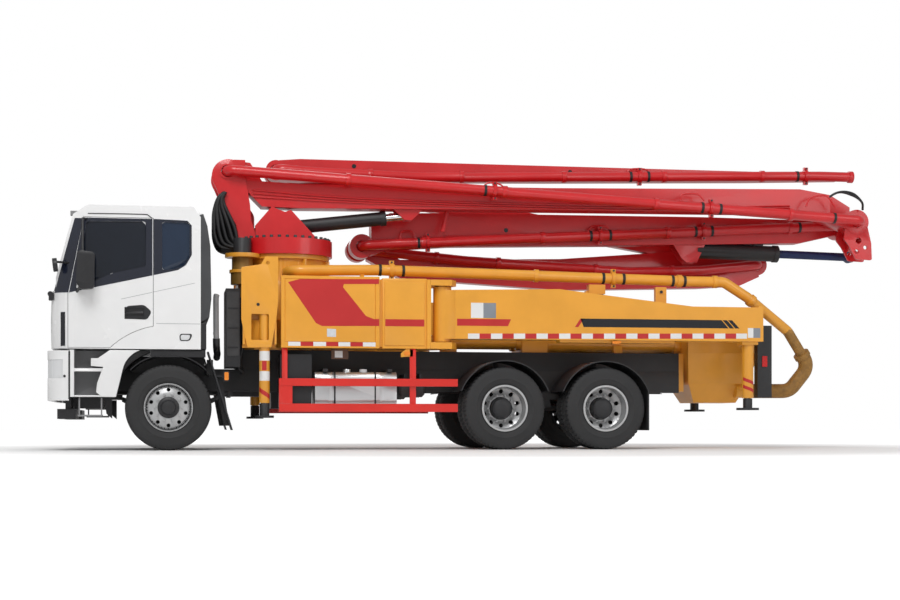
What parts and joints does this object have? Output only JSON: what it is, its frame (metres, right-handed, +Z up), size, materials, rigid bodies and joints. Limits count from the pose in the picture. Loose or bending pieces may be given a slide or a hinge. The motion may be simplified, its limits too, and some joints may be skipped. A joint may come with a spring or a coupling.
{
  "type": "concrete pump truck",
  "caption": "Three-axle truck with a concrete pump, four outriggers and a five-section folding placing boom.",
  "frame": {"origin": "on the ground under the middle of the machine's length and width", "axes": "+X to the front, +Y to the left, +Z up"},
  "size_m": [11.3448, 2.94, 4.009],
  "materials": {
    "boom_paint": "satin",
    "deck_paint": "satin",
    "cab_paint": "gloss",
    "black_steel": "satin",
    "red_paint": "satin",
    "grey_steel": "rough",
    "rod_chrome": "polished",
    "tank_aluminium": "satin",
    "rim_steel": "satin",
    "tyre_rubber": "matte",
    "black_plastic": "matte",
    "pane_glass": "clear",
    "lamp_glass": "clear",
    "seat_fabric": "matte"
  },
  "bodies": {
    "chassis": {"chassis_frame": "black_steel", "front_axle": "grey_steel", "rear_axles": "grey_steel", "engine": "grey_steel", "bumper": "cab_paint", "headlights": "lamp_glass", "front_fenders": "cab_paint", "fuel_tank": "tank_aluminium", "side_guards": "red_paint", "mudguards": "black_plastic", "pedestal": "deck_paint", "lockers": "deck_paint", "hinge_blocks": "deck_paint", "pump_unit": "grey_steel", "hopper": "deck_paint", "hopper_side_plates": "deck_paint", "hopper_end_plates": "deck_paint", "deck_pipe": "deck_paint"},
    "cab": {"cab_shell": "cab_paint", "cab_glass": "pane_glass", "cab_interior": "seat_fabric", "kerb_mirrors": "black_plastic"},
    "hopper_grate": {"hopper_grate": "grey_steel"},
    "turret": {"turret": "boom_paint"},
    "lift_barrel": {"lift_barrel": "black_steel"},
    "lift_rod": {"lift_rod": "rod_chrome"},
    "elbow_rod": {"elbow_rod": "rod_chrome"},
    "tie_rod": {"tie_rod": "grey_steel"},
    "door_left": {"door_left": "cab_paint"},
    "knuckle_left": {"knuckle_left": "grey_steel"},
    "door_right": {"door_right": "cab_paint"},
    "knuckle_right": {"knuckle_right": "grey_steel"},
    "front_wheel_left": {"front_tyre_left": "tyre_rubber", "front_rim_left": "rim_steel"},
    "second_wheels_left": {"second_tyres_left": "tyre_rubber", "second_rims_left": "rim_steel"},
    "third_wheels_left": {"third_tyres_left": "tyre_rubber", "third_rims_left": "rim_steel"},
    "front_leg_left": {"front_leg_left": "deck_paint"},
    "front_jack_left": {"front_jack_left": "rod_chrome"},
    "rear_leg_left": {"rear_leg_left": "deck_paint"},
    "rear_jack_left": {"rear_jack_left": "rod_chrome"},
    "front_wheel_right": {"front_tyre_right": "tyre_rubber", "front_rim_right": "rim_steel"},
    "second_wheels_right": {"second_tyres_right": "tyre_rubber", "second_rims_right": "rim_steel"},
    "third_wheels_right": {"third_tyres_right": "tyre_rubber", "third_rims_right": "rim_steel"},
    "front_leg_right": {"front_leg_right": "deck_paint"},
    "front_jack_right": {"front_jack_right": "rod_chrome"},
    "rear_leg_right": {"rear_leg_right": "deck_paint"},
    "rear_jack_right": {"rear_jack_right": "rod_chrome"},
    "arm_1": {"arm_1": "boom_paint"},
    "arm_2": {"arm_2": "boom_paint"},
    "arm_3": {"arm_3": "boom_paint"},
    "arm_4": {"arm_4": "boom_paint"},
    "arm_5": {"arm_5": "boom_paint"}
  },
  "joints": [
    {"name": "arm_1_lift", "type": "hinge", "parent": "turret", "child": "arm_1", "pos_m": [3.4185, 0, 3.67], "axis": [0, 1, 0], "range_deg": [0, 85]},
    {"name": "slew", "type": "hinge", "parent": "chassis", "child": "turret", "pos_m": [2.6525, 0, 2.56], "axis": [0, 0, 1], "range_deg": [-180, 180]},
    {"name": "arm_2_unfold", "type": "hinge", "parent": "arm_1", "child": "arm_2", "pos_m": [-5.4285, 0, 3.197], "axis": [0, -1, 0], "range_deg": [0, 186.46]},
    {"name": "arm_3_unfold", "type": "hinge", "parent": "arm_2", "child": "arm_3", "pos_m": [1.5605, 0, 2.782], "axis": [0, 1, 0], "range_deg": [0, 185]},
    {"name": "arm_4_unfold", "type": "hinge", "parent": "arm_3", "child": "arm_4", "pos_m": [-4.3085, 0, 2.664], "axis": [0, -1, 0], "range_deg": [0, 172]},
    {"name": "arm_5_unfold", "type": "hinge", "parent": "arm_4", "child": "arm_5", "pos_m": [2.7265, 0, 3.822], "axis": [0, 1, 0], "range_deg": [0, 170]},
    {"name": "lift_cylinder_turn", "type": "hinge", "parent": "turret", "child": "lift_barrel", "pos_m": [2.8025, 0, 2.938], "axis": [0, 1, 0], "range_deg": [0, 82]},
    {"name": "lift_cylinder_stroke", "type": "slide", "parent": "lift_barrel", "child": "lift_rod", "axis": [-0.9926, 0, 0.1211], "range_m": [0, 1.3]},
    {"name": "elbow_cylinder_stroke", "type": "slide", "parent": "arm_2", "child": "elbow_rod", "axis": [0.9997, 0, 0.0245], "range_m": [0, 0.82]},
    {"name": "cab_tilt", "type": "hinge", "parent": "chassis", "child": "cab", "pos_m": [5.5825, 0, 1.33], "axis": [0, 1, 0], "range_deg": [0, 50]},
    {"name": "door_left_hinge", "type": "hinge", "parent": "cab", "child": "door_left", "pos_m": [5.4075, 1.235, 2], "axis": [0, 0, -1], "range_deg": [0, 70]},
    {"name": "door_right_hinge", "type": "hinge", "parent": "cab", "child": "door_right", "pos_m": [5.4075, -1.235, 2], "axis": [0, 0, 1], "range_deg": [0, 70]},
    {"name": "steering", "type": "hinge", "parent": "chassis", "child": "knuckle_left", "pos_m": [4.1825, 0.85, 0.538], "axis": [0, 0, 1], "range_deg": [-38, 38]},
    {"name": "steering_right", "type": "hinge", "parent": "chassis", "child": "knuckle_right", "pos_m": [4.1825, -0.85, 0.538], "axis": [0, 0, 1], "range_deg": [-38, 38]},
    {"name": "tie_rod_pivot", "type": "hinge", "parent": "knuckle_left", "child": "tie_rod", "pos_m": [3.8825, 0.76, 0.45], "axis": [0, 0, 1], "range_deg": [-38, 38]},
    {"name": "front_wheel_left_spin", "type": "hinge", "parent": "knuckle_left", "child": "front_wheel_left", "pos_m": [4.1825, 1.095, 0.538], "axis": [0, 1, 0], "continuous": true},
    {"name": "second_wheels_left_spin", "type": "hinge", "parent": "chassis", "child": "second_wheels_left", "pos_m": [-0.1175, 0.927, 0.538], "axis": [0, 1, 0], "continuous": true},
    {"name": "third_wheels_left_spin", "type": "hinge", "parent": "chassis", "child": "third_wheels_left", "pos_m": [-1.4675, 0.927, 0.538], "axis": [0, 1, 0], "continuous": true},
    {"name": "front_leg_left_out", "type": "slide", "parent": "chassis", "child": "front_leg_left", "axis": [0.4226, 0.9063, 0], "range_m": [0, 1.3]},
    {"name": "front_jack_left_down", "type": "slide", "parent": "front_leg_left", "child": "front_jack_left", "axis": [0, 0, -1], "range_m": [0, 0.6]},
    {"name": "rear_leg_left_swing", "type": "hinge", "parent": "chassis", "child": "rear_leg_left", "pos_m": [0.6825, 1.075, 1.75], "axis": [0, 0, -1], "range_deg": [0, 60]},
    {"name": "rear_jack_left_down", "type": "slide", "parent": "rear_leg_left", "child": "rear_jack_left", "axis": [0, 0, -1], "range_m": [0, 0.6]},
    {"name": "front_wheel_right_spin", "type": "hinge", "parent": "knuckle_right", "child": "front_wheel_right", "pos_m": [4.1825, -1.095, 0.538], "axis": [0, 1, 0], "continuous": true},
    {"name": "second_wheels_right_spin", "type": "hinge", "parent": "chassis", "child": "second_wheels_right", "pos_m": [-0.1175, -0.927, 0.538], "axis": [0, 1, 0], "continuous": true},
    {"name": "third_wheels_right_spin", "type": "hinge", "parent": "chassis", "child": "third_wheels_right", "pos_m": [-1.4675, -0.927, 0.538], "axis": [0, 1, 0], "continuous": true},
    {"name": "front_leg_right_out", "type": "slide", "parent": "chassis", "child": "front_leg_right", "axis": [0.4226, -0.9063, 0], "range_m": [0, 1.3]},
    {"name": "front_jack_right_down", "type": "slide", "parent": "front_leg_right", "child": "front_jack_right", "axis": [0, 0, -1], "range_m": [0, 0.6]},
    {"name": "rear_leg_right_swing", "type": "hinge", "parent": "chassis", "child": "rear_leg_right", "pos_m": [0.6825, -1.075, 1.75], "axis": [0, 0, 1], "range_deg": [0, 60]},
    {"name": "rear_jack_right_down", "type": "slide", "parent": "rear_leg_right", "child": "rear_jack_right", "axis": [0, 0, -1], "range_m": [0, 0.6]},
    {"name": "hopper_grate_hinge", "type": "hinge", "parent": "chassis", "child": "hopper_grate", "pos_m": [-2.7995, 0, 1.776], "axis": [0, 1, 0], "range_deg": [0, 45]}
  ],
  "couplings": [
    {"joint": "slew", "follows": "arm_1_lift", "ratio": 2.1176},
    {"joint": "arm_3_unfold", "follows": "arm_2_unfold", "ratio": 0.98976},
    {"joint": "arm_4_unfold", "follows": "arm_2_unfold", "ratio": 0.92138},
    {"joint": "arm_5_unfold", "follows": "arm_2_unfold", "ratio": 0.9114},
    {"joint": "lift_cylinder_turn", "follows": "arm_1_lift", "ratio": 0.9547},
    {"joint": "lift_cylinder_stroke", "follows": "arm_1_lift", "m_per_rad": 0.8648},
    {"joint": "elbow_cylinder_stroke", "follows": "arm_2_unfold", "m_per_rad": 0.24583},
    {"joint": "steering_right", "follows": "steering", "ratio": 1},
    {"joint": "tie_rod_pivot", "follows": "steering", "ratio": -1}
  ]
}
